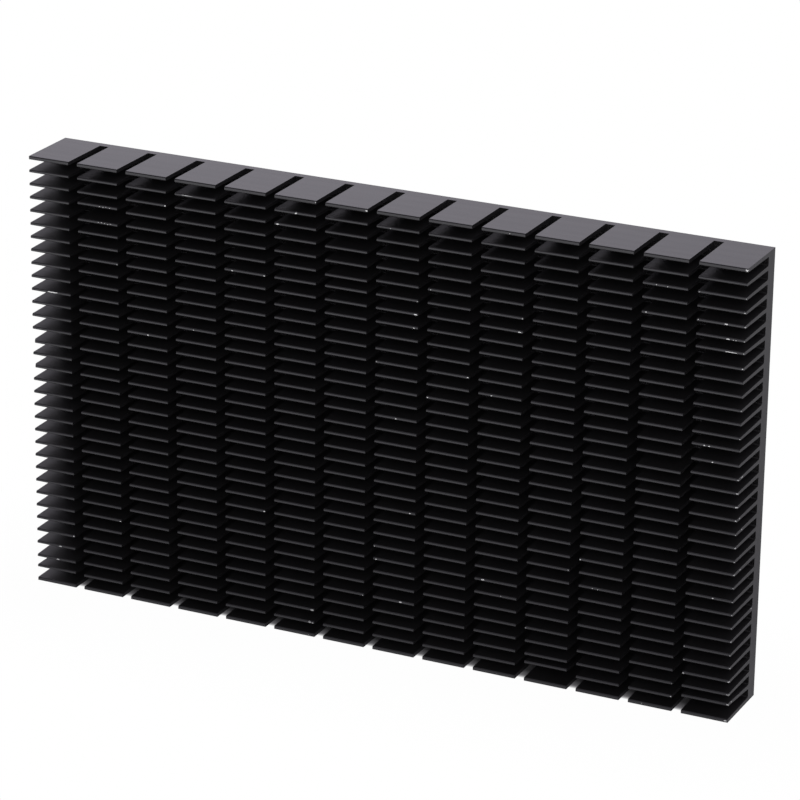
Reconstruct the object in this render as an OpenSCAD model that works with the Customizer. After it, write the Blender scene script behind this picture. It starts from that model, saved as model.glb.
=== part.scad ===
// Cross-cut aluminium heat sink: one extruded bar of long fins, sawn across into short blocks.
// It stands on its long lower edge: X runs along the bar, the fins point to -Y, +Z is up.

/* [Bar] */
// Length of the bar along the fins
length = 300; // [200:5:500]
// Number of fins, counting the two edge fins
fin_count = 34; // [10:1:50]
// Distance from one fin to the next
fin_pitch = 5.42; // [4.8:0.02:9]
// Thickness of the base plate behind the fins
base_t = 6.5; // [5:0.1:12]

/* [Fins] */
// Height of the fins above the base plate
fin_height = 21.8; // [12:0.2:40]
// Thickness of an inner fin at its tip
fin_tip_t = 1.1; // [0.9:0.05:1.4]
// Thickness of an inner fin at its root
fin_root_t = 1.7; // [1.4:0.05:2.4]
// Thickness of the two edge fins at their tips
edge_fin_t = 1.45; // [1.2:0.05:3]
// Bevel along the two edges of each fin tip
tip_bevel = 0.3; // [0.1:0.05:0.4]
// Radius of the outer front corner of the edge fins
nose_r = 0.4; // [0.2:0.05:0.6]
// Radius in the two corners at the bottom of each fin gap
root_r = 0.6; // [0.3:0.05:0.9]

/* [Saw cuts] */
// Number of cuts across the fins
slot_count = 13; // [2:1:16]
// Width of each cut
slot_w = 4; // [2:0.1:6]
// How far the cuts bite into the base plate below the fin gaps
slot_bite = 3.3; // [1:0.1:4]
// How much longer the right-hand block is than the others
end_block_extra = 1.2; // [0:0.1:5]

/* [Hidden] */

depth = fin_height + base_t;
height = (fin_count - 1) * fin_pitch + edge_fin_t;
slot_depth = fin_height + slot_bite;
flank_lean = (fin_root_t - fin_tip_t) / 2;
root_y = fin_height - root_r;
block_length = (length - slot_count * slot_w - end_block_extra) / (slot_count + 1);
block_pitch = block_length + slot_w;

// Overshoot of a cutting shape past the face that it opens
past = 1;
// How far the fin gaps of a block run out into the saw cuts beside it
run_out = slot_w / 4;
// How far a root round sinks into the faces it joins, so that it crosses them cleanly
sink = 0.01;
// Facets of a full circle where the shape is drawn as a mesh
$fn = 48;

// Fins that were knocked out of line: [block from the left, fin from the top, rise of the tip]
BENT_FINS = [
    [0, 14, -0.4], [0, 31, -0.5], [0, 32, 0.4],
    [1, 3, 0.9], [1, 4, -0.4], [1, 15, -0.5],
    [6, 3, -0.4], [6, 4, -0.6], [6, 5, -0.9], [6, 14, -0.4], [6, 16, -0.5],
    [9, 10, -0.3],
    [10, 32, 1.9],
    [12, 4, -0.4], [12, 5, -0.4], [12, 12, -0.4], [12, 13, -0.7],
    [12, 14, -0.3], [12, 15, -1.3], [12, 16, -1],
    [13, 6, 0.6], [13, 13, 0.6], [13, 32, 1.4]
];

// Fins with their front corner broken off at the left end of the bar, and how far along X and Y
CHIPPED_FINS = [14, 16];
chip_x = 0.9;
chip_y = 1.8;

// Rise of one fin's tip in one block, zero for a straight fin or an edge fin
function rise(block, fin) =
    let (hits = [for (bent = BENT_FINS) if (bent[0] == block && bent[1] == fin) bent[2]])
    len(hits) > 0 && fin < fin_count - 1 ? hits[0] : 0;

// Height of a fin's middle plane above the lower edge, fins counted from the top
function fin_z(fin) = height - edge_fin_t / 2 - fin * fin_pitch;

// Half the thickness of a fin at its tip
function half_tip(fin) = (fin == 0 || fin == fin_count - 1 ? edge_fin_t : fin_tip_t) / 2;

// Where a block starts along the bar
function block_x(block) = -length / 2 + block * block_pitch;

// Length of a block, the last one running to the end of the bar
function block_span(block) = block_length + (block == slot_count ? end_block_extra : 0);

// Outline of the bar before anything is cut from it, front at zero, edge corners rounded
module bar_outline() {
    translate([nose_r, 0]) square([depth - nose_r, height]);
    translate([0, nose_r]) square([nose_r, height - 2 * nose_r]);
    for (corner_z = [nose_r, height - nose_r]) translate([nose_r, corner_z]) circle(nose_r);
}

// Distance from a gap's middle to a fin's flank at a depth y behind the fin tips
// flank is that distance at the tip of a straight fin, shift what a bent tip adds to it
function flank_z(flank, shift, y) = flank + shift - (flank_lean + shift) * y / fin_height;

// Corner points of one side of a gap, from its mouth to its floor
function gap_side(flank, shift) = [
    [-past, flank_z(flank, shift, 0) + tip_bevel + past],
    [tip_bevel, flank_z(flank, shift, tip_bevel)],
    [root_y, flank_z(flank, shift, root_y)],
    [fin_height, flank_z(flank, shift, root_y) - root_r]
];

// Gap between one fin and the next one below it
module fin_gap(block, fin) {
    middle = (fin_z(fin) + fin_z(fin + 1)) / 2;
    over = gap_side(fin_z(fin) - half_tip(fin) - middle, rise(block, fin));
    under = gap_side(middle - fin_z(fin + 1) - half_tip(fin + 1), -rise(block, fin + 1));
    last = len(under) - 1;
    translate([0, middle]) {
        polygon(concat(over, [for (i = [last : -1 : 0]) [under[i][0], -under[i][1]]]));
        for (root_z = [over[last][1], -under[last][1]])
            translate([root_y, root_z]) circle(root_r + sink);
    }
}

// A cross-section drawn out along the bar from one place
module along_bar(start_x, span) {
    translate([start_x, -depth / 2, 0]) rotate([90, 0, 90]) linear_extrude(span) children();
}

// All fin gaps of one block, between its own straight and bent fins
module block_gaps(block) {
    along_bar(block_x(block) - run_out, block_span(block) + 2 * run_out)
        for (fin = [0 : fin_count - 2]) fin_gap(block, fin);
}

// The saw cut after a block, across all fins and into the base plate
module saw_cut(block) {
    translate([block_x(block) + block_length, -depth / 2 - past, -past])
        cube([slot_w, slot_depth + past, height + 2 * past]);
}

// Cutter for the broken corner of one fin, half a fin pitch above and below the fin
module corner_chip(fin) {
    reach_x = chip_x * (1 + past / chip_y);
    reach_y = chip_y * (1 + past / chip_x);
    translate([-length / 2, -depth / 2, fin_z(fin) - fin_pitch / 2])
        linear_extrude(fin_pitch) polygon([[-past, -past], [reach_x, -past], [-past, reach_y]]);
}

module heat_sink() {
    color([0.1, 0.1, 0.11]) difference() {
        along_bar(-length / 2, length) bar_outline();
        for (block = [0 : slot_count]) block_gaps(block);
        for (block = [0 : slot_count - 1]) saw_cut(block);
        for (fin = CHIPPED_FINS) if (fin < fin_count - 1) corner_chip(fin);
    }
}

heat_sink();
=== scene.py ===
"""Looks of a black anodised heat sink: finish, bare-metal nicks, studio floor, light and camera."""
import math
import random

import bmesh
import bpy
from mathutils import Euler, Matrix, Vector
from mathutils.bvhtree import BVHTree


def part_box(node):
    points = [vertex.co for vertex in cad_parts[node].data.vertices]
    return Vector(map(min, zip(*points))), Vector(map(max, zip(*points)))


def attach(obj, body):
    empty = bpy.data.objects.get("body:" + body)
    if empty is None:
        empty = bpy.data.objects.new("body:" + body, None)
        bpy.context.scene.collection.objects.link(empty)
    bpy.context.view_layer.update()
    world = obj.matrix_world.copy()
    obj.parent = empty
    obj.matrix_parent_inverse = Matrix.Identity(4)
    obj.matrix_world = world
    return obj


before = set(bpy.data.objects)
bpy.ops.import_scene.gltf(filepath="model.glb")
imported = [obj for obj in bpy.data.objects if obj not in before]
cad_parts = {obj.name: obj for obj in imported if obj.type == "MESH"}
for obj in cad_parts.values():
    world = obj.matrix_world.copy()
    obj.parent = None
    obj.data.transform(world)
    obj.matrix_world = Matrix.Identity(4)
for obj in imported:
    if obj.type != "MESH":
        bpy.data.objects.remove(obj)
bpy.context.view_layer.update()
LOW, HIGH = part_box("heat_sink")
MM = 0.001

# Fins as the solid has them
FIN_PITCH = 5.42 * MM
EDGE_FIN = 1.45 * MM
# Thinner than an edge fin, to tell the bar's outer faces from its gap walls
EDGE_SKIN = 0.5 * MM
# Least share of Z in the normal of a face that counts as level
LEVEL_FACE = 0.5

# Camera fitted to the photograph: the point it looks at and its distance in metres, angles and lens
AIM = Vector((0.0120, LOW.y, 0.1062))
CAMERA_DISTANCE = 1.4710
CAMERA_AZIMUTH = math.radians(25.278)
CAMERA_ELEVATION = math.radians(20.457)
CAMERA_ROLL = math.radians(0.747)
LENS_MM = 173.61
SENSOR_MM = 36

# Noises of the finishes: stretch along X, Y and Z, then scale and detail
DRAWN_LINES = (0.02, 1, 1), 2600, 3
DRAWN_BANDS = (0.004, 1, 1), 240, 3
SAW_LINES = (1, 1, 0.06), 2200, 2
CLOUDS = (1, 1, 1), 60, 4
SCRATCHES = (0.2, 1, 1), 4000, 3
# Values at which a noise gives the two ends of a colour or roughness, those for the drawn lines
# blended with the bands, and the share of the bands in that blend
NOISE_ENDS = 0.3, 0.7
BLEND_ENDS = 0.35, 0.65
BAND_SHARE = 0.5

# Black anodising: two tones, roughness of drawn faces, gap walls and sawn ends, reflection and bump
BLACK_DARK, BLACK_LIGHT = (0.0067, 0.0064, 0.0062), (0.0104, 0.0100, 0.0097)
DRAWN_ROUGHNESS = 0.2, 0.26
WALL_ROUGHNESS = 0.48, 0.54
SAWN_ROUGHNESS = 0.46, 0.54
BLACK_IOR = 1.72
BLACK_SHINE_TINT = (0.92, 0.91, 0.98, 1)
BLACK_BUMP, BLACK_BUMP_DEPTH = 0.02, 0.03 * MM

# Bare metal: two tones, roughness and bump of its scratches
METAL_DARK, METAL_LIGHT = (0.8, 0.8, 0.81), (0.96, 0.96, 0.96)
METAL_ROUGHNESS = 0.25, 0.4
METAL_BUMP, METAL_BUMP_DEPTH = 0.15, 0.05 * MM

# Floor: width in metres, grey of the matt floor in the open and the darker grey of painted shade under
# the object, share of pure white that the camera sees beside the object, and the distances over which that
# share grows to full white on the open floor and fades under the object, where painted shade darkens the
# matt floor too
FLOOR_SIZE = 12
FLOOR_GREY, UNDER_SHADE_GREY = 0.88, 0.16
FLOOR_GLOW = 0.985
OPEN_FADE = 80 * MM
UNDER_FROM, UNDER_TO = -2.4 * MM, -6 * MM
UNDER_CURVE = 3
# Distances under the object over which painted shade darkens the matt floor's grey
UNDER_SHADE_FROM, UNDER_SHADE_TO = -2.5 * MM, -10 * MM

# Mirrored floor, the glow that only reflections see, with painted shade in it: share of white at the
# object's foot, lowered there as painted shade, the short step at its edge that paints a dark contact shade
# under it, the distance over which it grows to full white, and the stretch from front to back over which it
# fades to a smaller share of white on the matt floor, painting the floor behind the object dimmer in
# reflections
MIRROR_NEAR = 0.42
MIRROR_CONTACT_SHADE = 0.4 * MM
MIRROR_FADE = 480 * MM
MIRROR_FRONT, MIRROR_BACK = -30 * MM, 70 * MM
MIRROR_BACK_SHARE = 0.38

# Surroundings by the X, Y and Z of a direction: a white backdrop that starts low behind the
# object, ends overhead and at the sides, and dims to the right, in a dimmer room with a pale ceiling
BACKDROP_FOOT, BACKDROP_FULL = 0.1, 0.31
BACKDROP_FOOT_SHARE = 0.18
BACKDROP_HIGH, BACKDROP_TOP = 0.5, 0.85
BACKDROP_SIDE, BACKDROP_MIDDLE = 0.45, 0.7
BACKDROP_LEFT, BACKDROP_RIGHT = -0.45, -0.2
BACKDROP_RIGHT_SHARE = 0.7
BACKDROP_LIGHT = 1
ROOM_LIGHT, CEILING_LIGHT = 0.16, 0.32
CEILING_FROM, CEILING_FULL = 0.6, 0.9
WORLD_TINT = (0.95, 0.91, 1, 1)

# Soft lamp in front of the object: place and width in metres, power in watts, colour
LAMP_PLACE = Vector((0.95, -2.0, 1.0))
LAMP_SIZE = 1.7
LAMP_WATTS = 22
LAMP_TINT = (0.97, 0.95, 1)

# Bare-metal nicks on the fin tips: fin from the top, then places in mm from the bar's left end
FINE_NICKS = {
    0: (206, 216), 1: (157.1,), 2: (264.9, 269.3, 281.7, 299.85), 3: (31.4, 33, 34.3, 35.9),
    4: (30.8, 32.2, 33.6, 35, 36.3, 281.7, 299.8), 5: (174.1, 295.6, 296.6, 299.85), 6: (168.6, 212, 299.8),
    7: (38.9,), 10: (299.85,), 11: (72.7, 151.9), 12: (299.85,), 15: (299.8,), 19: (299.85,), 20: (299.8,),
    21: (299.85,), 22: (299.85,), 23: (299.85,), 24: (233.4, 299.8), 25: (151.8, 243.5, 245.7, 299.85),
    26: (299.85,), 27: (205.7, 299.85), 28: (281.5, 299.85), 29: (146.9, 216.5, 281.6, 299.85),
    31: (277.1,), 33: (123.3, 265.1),
}
SMALL_NICKS = {
    2: (60.6,), 4: (261.2,), 6: (89.8, 103.7), 7: (299.7,), 8: (167.4,), 11: (190.1,),
    12: (52.4, 200), 13: (173.5, 286.1, 288), 14: (289.6,), 15: (160.3,), 16: (299.7,), 18: (299.7,),
    22: (166.8,), 23: (238.2,), 24: (103.7, 292), 26: (152.6,), 27: (38.8,), 29: (17.1,),
    30: (281.5, 299.7), 32: (125.1, 277, 299.7),
}
LARGE_NICKS = {
    0: (126, 147.2), 2: (109.4,), 4: (292.6,), 5: (293.5,), 7: (168, 211), 26: (198.1,), 29: (163.3,),
    30: (10.7,), 31: (9.5, 124.9), 33: (299.2,),
}
TALL_NICKS = {0: (299.6,), 1: (117.3,), 3: (299.7,), 17: (299.7,), 31: (299.6,), 32: (123.8,)}
THIN_SCRAPES = {1: (70.2,)}
WIDE_SCRAPES = {6: (295,), 10: (9.5,)}

# The nicks with their length along the fin and their height
NICKS = (
    (FINE_NICKS, 0.4 * MM, 0.22 * MM),
    (SMALL_NICKS, 0.7 * MM, 0.42 * MM),
    (LARGE_NICKS, 1.25 * MM, 0.6 * MM),
    (TALL_NICKS, 0.9 * MM, 1.3 * MM),
    (THIN_SCRAPES, 5 * MM, 0.12 * MM),
    (WIDE_SCRAPES, 4.5 * MM, 0.5 * MM),
)

# Nicks on the bar's right end: place from the top in fin pitches, then depths in mm behind the tips
END_NICKS = {
    0: (0.4,), 4: (0.3,), 15: (0.3, 3.4, 4.3), 16: (0.3,), 17: (0.4,), 18: (3.2,), 19: (6,), 20: (0.3,),
    22: (0.5, 6.3), 25.92: (20.5,), 27: (0.3,), 29: (0.3,), 30: (0.3,), 31: (0.45,), 31.76: (0.3, 3.3),
}
END_NICK_LENGTH, END_NICK_HEIGHT = 0.8 * MM, 0.5 * MM

# Patch of one nick: squares along and across it, the share of its squared half width that its two
# ends keep, how its width, lean and height on the fin vary at random, and how proud of the bar it lies
NICK_SEED = 7
NICK_COLUMNS, NICK_ROWS = 8, 4
NICK_END = 0.1
NICK_WIDTHS = 0.5, 1.1
NICK_LEAN = 0.15
NICK_SHIFT_MM = 0.2
NICK_LIFT = 0.006 * MM

# Search for the bar's surface: how far outside the bar a ray starts, how deep a hit still counts as a
# tip or end, how far above and below its straight place a bent tip is looked for, and in how many steps
RAY_START = 10 * MM
TIP_REACH = 0.3 * MM
TIP_SEARCH = 2.4 * MM
TIP_STEPS = 48


def add_node(tree, kind, inputs=None, **settings):
    """A new shader node; an input is set to a value, or linked where a socket is given."""
    node = tree.nodes.new(kind)
    for name, value in settings.items():
        setattr(node, name, value)
    for name, value in (inputs or {}).items():
        if isinstance(value, bpy.types.NodeSocket):
            tree.links.new(value, node.inputs[name])
        else:
            node.inputs[name].default_value = value
    return node


def calc(tree, operation, *values, clamp=False):
    """Result of a math node on numbers or sockets."""
    node = add_node(tree, "ShaderNodeMath", dict(enumerate(values)), operation=operation, use_clamp=clamp)
    return node.outputs[0]


def product(tree, first, *others):
    """All values multiplied."""
    for other in others:
        first = calc(tree, "MULTIPLY", first, other)
    return first


def vector_calc(tree, operation, *values):
    """Result of a vector math node on vectors or sockets."""
    node = add_node(tree, "ShaderNodeVectorMath", dict(enumerate(values)), operation=operation)
    return node.outputs["Value" if operation == "LENGTH" else "Vector"]


def between(tree, value, low, high, out_low, out_high):
    """value from low to high, mapped to out_low to out_high."""
    mapped = add_node(tree, "ShaderNodeMapRange", {
        "Value": value, "From Min": low, "From Max": high, "To Min": out_low, "To Max": out_high})
    return mapped.outputs["Result"]


def blend(tree, share, first, second):
    """The first value where share is zero, the second where it is one."""
    return add_node(tree, "ShaderNodeMix", {"Factor": share, "A": first, "B": second}).outputs["Result"]


def new_material(name):
    """An empty node material with its output node."""
    material = bpy.data.materials.new(name)
    material.use_nodes = True
    material.node_tree.nodes.clear()
    output = material.node_tree.nodes.new("ShaderNodeOutputMaterial")
    return material, material.node_tree, output


def stretched_noise(tree, stretch, scale, detail):
    """Noise in the object's own metres, drawn out along the axes with a small stretch."""
    place = add_node(tree, "ShaderNodeTexCoord").outputs["Object"]
    drawn = vector_calc(tree, "MULTIPLY", place, stretch)
    noise = add_node(tree, "ShaderNodeTexNoise", {"Vector": drawn, "Scale": scale, "Detail": detail})
    return noise.outputs["Fac"]


def two_tone(tree, share, dark, light):
    """A colour from dark to light over the middle of a noise."""
    ramp = add_node(tree, "ShaderNodeValToRGB", {"Fac": share})
    for stop, place, colour in zip(ramp.color_ramp.elements, NOISE_ENDS, (dark, light)):
        stop.position = place
        stop.color = (*colour, 1)
    return ramp.outputs["Color"]


def face_kinds(tree):
    """Two masks on the bar: faces that the saw cut, and the walls inside the fin gaps."""
    geometry = add_node(tree, "ShaderNodeNewGeometry").outputs
    facing = add_node(tree, "ShaderNodeSeparateXYZ", {"Vector": geometry["True Normal"]}).outputs
    place = add_node(tree, "ShaderNodeTexCoord").outputs["Object"]
    height = add_node(tree, "ShaderNodeSeparateXYZ", {"Vector": place}).outputs["Z"]
    half = (HIGH.z - LOW.z) / 2
    from_middle = calc(tree, "ABSOLUTE", calc(tree, "SUBTRACT", height, LOW.z + half))
    inside = calc(tree, "LESS_THAN", from_middle, half - EDGE_SKIN)
    level = calc(tree, "GREATER_THAN", calc(tree, "ABSOLUTE", facing["Z"]), LEVEL_FACE)
    sawn = calc(tree, "ABSOLUTE", facing["X"])
    return sawn, calc(tree, "MULTIPLY", inside, level)


def black_anodised():
    """Satin black anodising: drawn lines and bands along the fins, duller gap walls, rough sawn ends."""
    material, tree, output = new_material("black_anodised")
    drawn_lines = stretched_noise(tree, *DRAWN_LINES)
    drawn_bands = stretched_noise(tree, *DRAWN_BANDS)
    saw_lines = stretched_noise(tree, *SAW_LINES)
    clouds = stretched_noise(tree, *CLOUDS)

    sawn, gap_wall = face_kinds(tree)
    drawn_marks = blend(tree, BAND_SHARE, drawn_lines, drawn_bands)
    drawn_roughness = between(tree, drawn_marks, *BLEND_ENDS, *DRAWN_ROUGHNESS)
    wall_roughness = between(tree, drawn_lines, *NOISE_ENDS, *WALL_ROUGHNESS)
    sawn_roughness = between(tree, saw_lines, *NOISE_ENDS, *SAWN_ROUGHNESS)
    roughness = blend(tree, sawn, blend(tree, gap_wall, drawn_roughness, wall_roughness), sawn_roughness)
    bump = add_node(tree, "ShaderNodeBump", {
        "Height": blend(tree, sawn, drawn_lines, saw_lines),
        "Strength": BLACK_BUMP,
        "Distance": BLACK_BUMP_DEPTH})
    shader = add_node(tree, "ShaderNodeBsdfPrincipled", {
        "Base Color": two_tone(tree, clouds, BLACK_DARK, BLACK_LIGHT),
        "Roughness": roughness,
        "IOR": BLACK_IOR,
        "Specular Tint": BLACK_SHINE_TINT,
        "Normal": bump.outputs["Normal"]})
    tree.links.new(shader.outputs["BSDF"], output.inputs["Surface"])
    return material


def bare_metal():
    """Aluminium scraped bare: bright, with fine scratches."""
    material, tree, output = new_material("bare_metal")
    scratches = stretched_noise(tree, *SCRATCHES)
    bump = add_node(tree, "ShaderNodeBump", {
        "Height": scratches, "Strength": METAL_BUMP, "Distance": METAL_BUMP_DEPTH})
    shader = add_node(tree, "ShaderNodeBsdfPrincipled", {
        "Base Color": two_tone(tree, scratches, METAL_DARK, METAL_LIGHT),
        "Metallic": 1,
        "Roughness": between(tree, scratches, *NOISE_ENDS, *METAL_ROUGHNESS),
        "Normal": bump.outputs["Normal"]})
    tree.links.new(shader.outputs["BSDF"], output.inputs["Surface"])
    return material


def footprint_distance(tree, place):
    """Distance of a place on the floor from the object's footprint, negative under it."""
    half = ((HIGH.x - LOW.x) / 2, (HIGH.y - LOW.y) / 2, 0)
    outward = vector_calc(tree, "SUBTRACT", vector_calc(tree, "ABSOLUTE", place), half)
    outside = vector_calc(tree, "LENGTH", vector_calc(tree, "MAXIMUM", outward, (0, 0, 0)))
    sides = add_node(tree, "ShaderNodeSeparateXYZ", {"Vector": outward}).outputs
    inside = calc(tree, "MINIMUM", calc(tree, "MAXIMUM", sides["X"], sides["Y"]), 0)
    return calc(tree, "ADD", outside, inside)


def floor_white():
    """White floor that keeps a faint shadow, with painted shade under the object and in its reflections
    near it.
    """
    material, tree, output = new_material("floor_white")
    place = add_node(tree, "ShaderNodeNewGeometry").outputs["Position"]
    depth = add_node(tree, "ShaderNodeSeparateXYZ", {"Vector": place}).outputs["Y"]
    away = footprint_distance(tree, place)
    path = add_node(tree, "ShaderNodeLightPath").outputs
    beside = calc(tree, "POWER", between(tree, away, UNDER_TO, UNDER_FROM, 0, 1), UNDER_CURVE)
    white = calc(tree, "ADD", product(tree, beside, FLOOR_GLOW),
                 between(tree, away, 0, OPEN_FADE, 0, 1 - FLOOR_GLOW))
    # Painted shade in reflections: the glow that reflections see is lowered near the object, cut at its
    # foot and dimmed towards the back
    mirrored_white_and_shade = product(
        tree, between(tree, away, 0, MIRROR_FADE, MIRROR_NEAR, 1),
        between(tree, away, -MIRROR_CONTACT_SHADE, MIRROR_CONTACT_SHADE, 0, 1),
        between(tree, depth, MIRROR_FRONT, MIRROR_BACK, 1, MIRROR_BACK_SHARE))
    mirrored = calc(tree, "ADD", path["Is Glossy Ray"], path["Is Transmission Ray"])
    share = calc(tree, "ADD", product(tree, path["Is Camera Ray"], white),
                 product(tree, mirrored, mirrored_white_and_shade), clamp=True)
    # Painted shade: the matt floor's grey darkens under the object
    grey = between(tree, away, UNDER_SHADE_TO, UNDER_SHADE_FROM, UNDER_SHADE_GREY, FLOOR_GREY)
    matt = add_node(tree, "ShaderNodeBsdfDiffuse", {"Color": grey})
    glow = add_node(tree, "ShaderNodeEmission", {"Color": (1, 1, 1, 1), "Strength": 1})
    mix = add_node(tree, "ShaderNodeMixShader", {"Fac": share, 1: matt.outputs[0], 2: glow.outputs[0]})
    tree.links.new(mix.outputs[0], output.inputs["Surface"])
    return material


def add_floor():
    """A wide white floor under the object."""
    mesh = bpy.data.meshes.new("floor")
    half = FLOOR_SIZE / 2
    corners = [(-half, -half, 0), (half, -half, 0), (half, half, 0), (-half, half, 0)]
    mesh.from_pydata(corners, [], [(0, 1, 2, 3)])
    floor = bpy.data.objects.new("floor", mesh)
    floor.data.materials.append(floor_white())
    bpy.context.scene.collection.objects.link(floor)


def add_world():
    """Surroundings: a white backdrop behind the object, dimmer on the other sides and overhead."""
    world = bpy.data.worlds.new("studio")
    world.use_nodes = True
    tree = world.node_tree
    tree.nodes.clear()
    direction = add_node(tree, "ShaderNodeTexCoord").outputs["Generated"]
    towards = add_node(tree, "ShaderNodeSeparateXYZ", {"Vector": direction}).outputs
    shares = (
        between(tree, towards["Z"], BACKDROP_FOOT, BACKDROP_FULL, BACKDROP_FOOT_SHARE, 1),
        between(tree, towards["Z"], BACKDROP_HIGH, BACKDROP_TOP, 1, 0),
        between(tree, towards["Y"], BACKDROP_SIDE, BACKDROP_MIDDLE, 0, 1),
        between(tree, towards["X"], BACKDROP_LEFT, BACKDROP_RIGHT, 1, BACKDROP_RIGHT_SHARE))
    room = between(tree, towards["Z"], CEILING_FROM, CEILING_FULL, ROOM_LIGHT, CEILING_LIGHT)
    level = between(tree, product(tree, *shares), 0, 1, room, BACKDROP_LIGHT)
    background = add_node(tree, "ShaderNodeBackground", {"Color": WORLD_TINT, "Strength": level})
    output = tree.nodes.new("ShaderNodeOutputWorld")
    tree.links.new(background.outputs[0], output.inputs["Surface"])
    bpy.context.scene.world = world


def add_lamp():
    """A square soft lamp that faces the point the camera looks at."""
    data = bpy.data.lights.new("front_lamp", "AREA")
    data.size = LAMP_SIZE
    data.energy = LAMP_WATTS
    data.color = LAMP_TINT
    lamp = bpy.data.objects.new("front_lamp", data)
    lamp.location = LAMP_PLACE
    lamp.rotation_euler = (AIM - LAMP_PLACE).to_track_quat("-Z", "Y").to_euler()
    bpy.context.scene.collection.objects.link(lamp)


def add_camera():
    """The photograph's view, worked out from its angles and distance to the aimed point."""
    data = bpy.data.cameras.new("camera")
    data.lens = LENS_MM
    data.sensor_width = SENSOR_MM
    camera = bpy.data.objects.new("camera", data)
    level = math.cos(CAMERA_ELEVATION)
    back = Vector((
        math.sin(CAMERA_AZIMUTH) * level, -math.cos(CAMERA_AZIMUTH) * level, math.sin(CAMERA_ELEVATION)))
    camera.location = AIM + CAMERA_DISTANCE * back
    turn = (-back).to_track_quat("-Z", "Y") @ Euler((0, 0, CAMERA_ROLL)).to_quaternion()
    camera.rotation_euler = turn.to_euler()
    bpy.context.scene.collection.objects.link(camera)
    bpy.context.scene.camera = camera


def on_tip(solid, x, z):
    """Point and normal of a fin tip straight behind a place in front of the bar, or None."""
    hit, normal, _, _ = solid.ray_cast(Vector((x, LOW.y - RAY_START, z)), Vector((0, 1, 0)))
    if hit is None or hit.y > LOW.y + TIP_REACH:
        return None
    return hit, normal


def on_end(solid, y, z):
    """Point and normal of the bar's right end at a place beside it, or None at a gap."""
    hit, normal, _, _ = solid.ray_cast(Vector((HIGH.x + RAY_START, y, z)), Vector((-1, 0, 0)))
    if hit is None or hit.x < HIGH.x - TIP_REACH:
        return None
    return hit, normal


def fin_height(fin):
    """Middle height of a straight fin, fins counted from the top."""
    return HIGH.z - EDGE_FIN / 2 - fin * FIN_PITCH


def tip_height(solid, x, fin):
    """Middle height of a fin's tip at one place along the bar, also where the fin is bent."""
    straight = fin_height(fin)
    heights = [straight + TIP_SEARCH * (2 * step / TIP_STEPS - 1) for step in range(TIP_STEPS + 1)]
    found = [z for z in heights if on_tip(solid, x, z)]
    return sum(found) / len(found) if found else straight


def add_nick(mesh, solid, spot_at, along, z, length, height, rng):
    """A small ragged patch of bare metal laid on the face that spot_at finds, cut off at its edges."""
    grid = []
    for column in range(NICK_COLUMNS + 1):
        across = 2 * column / NICK_COLUMNS - 1
        reach = height / 2 * math.sqrt(max(NICK_END, 1 - across ** 2)) * rng.uniform(*NICK_WIDTHS)
        lean = height * rng.uniform(-NICK_LEAN, NICK_LEAN)
        line = []
        for row in range(NICK_ROWS + 1):
            spot = spot_at(solid, along + across * length / 2, z + lean + reach * (2 * row / NICK_ROWS - 1))
            line.append(mesh.verts.new(spot[0] + spot[1] * NICK_LIFT) if spot else None)
        grid.append(line)
    for left, right in zip(grid, grid[1:]):
        for row in range(NICK_ROWS):
            corners = (left[row], right[row], right[row + 1], left[row + 1])
            if None not in corners:
                mesh.faces.new(corners)


def add_nicks():
    """All bare-metal nicks as one piece that moves with the bar."""
    rng = random.Random(NICK_SEED)
    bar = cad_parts["heat_sink"]
    solid = BVHTree.FromObject(bar, bpy.context.evaluated_depsgraph_get())
    mesh = bmesh.new()
    for places_by_fin, length, height in NICKS:
        for fin, places in places_by_fin.items():
            for place in places:
                x = LOW.x + place * MM
                z = tip_height(solid, x, fin) + rng.uniform(-NICK_SHIFT_MM, NICK_SHIFT_MM) * MM
                add_nick(mesh, solid, on_tip, x, z, length, height, rng)
    for fin, depths in END_NICKS.items():
        for depth in depths:
            y = LOW.y + depth * MM
            add_nick(mesh, solid, on_end, y, fin_height(fin), END_NICK_LENGTH, END_NICK_HEIGHT, rng)
    data = bpy.data.meshes.new("nicks")
    mesh.to_mesh(data)
    mesh.free()
    data.materials.append(bare_metal())
    nicks = bpy.data.objects.new("nicks", data)
    bpy.context.scene.collection.objects.link(nicks)
    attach(nicks, "root")


bar_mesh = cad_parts["heat_sink"].data
bar_mesh.materials.clear()
bar_mesh.materials.append(black_anodised())
add_nicks()
add_floor()
add_world()
add_lamp()
add_camera()
bpy.context.scene.view_settings.view_transform = "Standard"
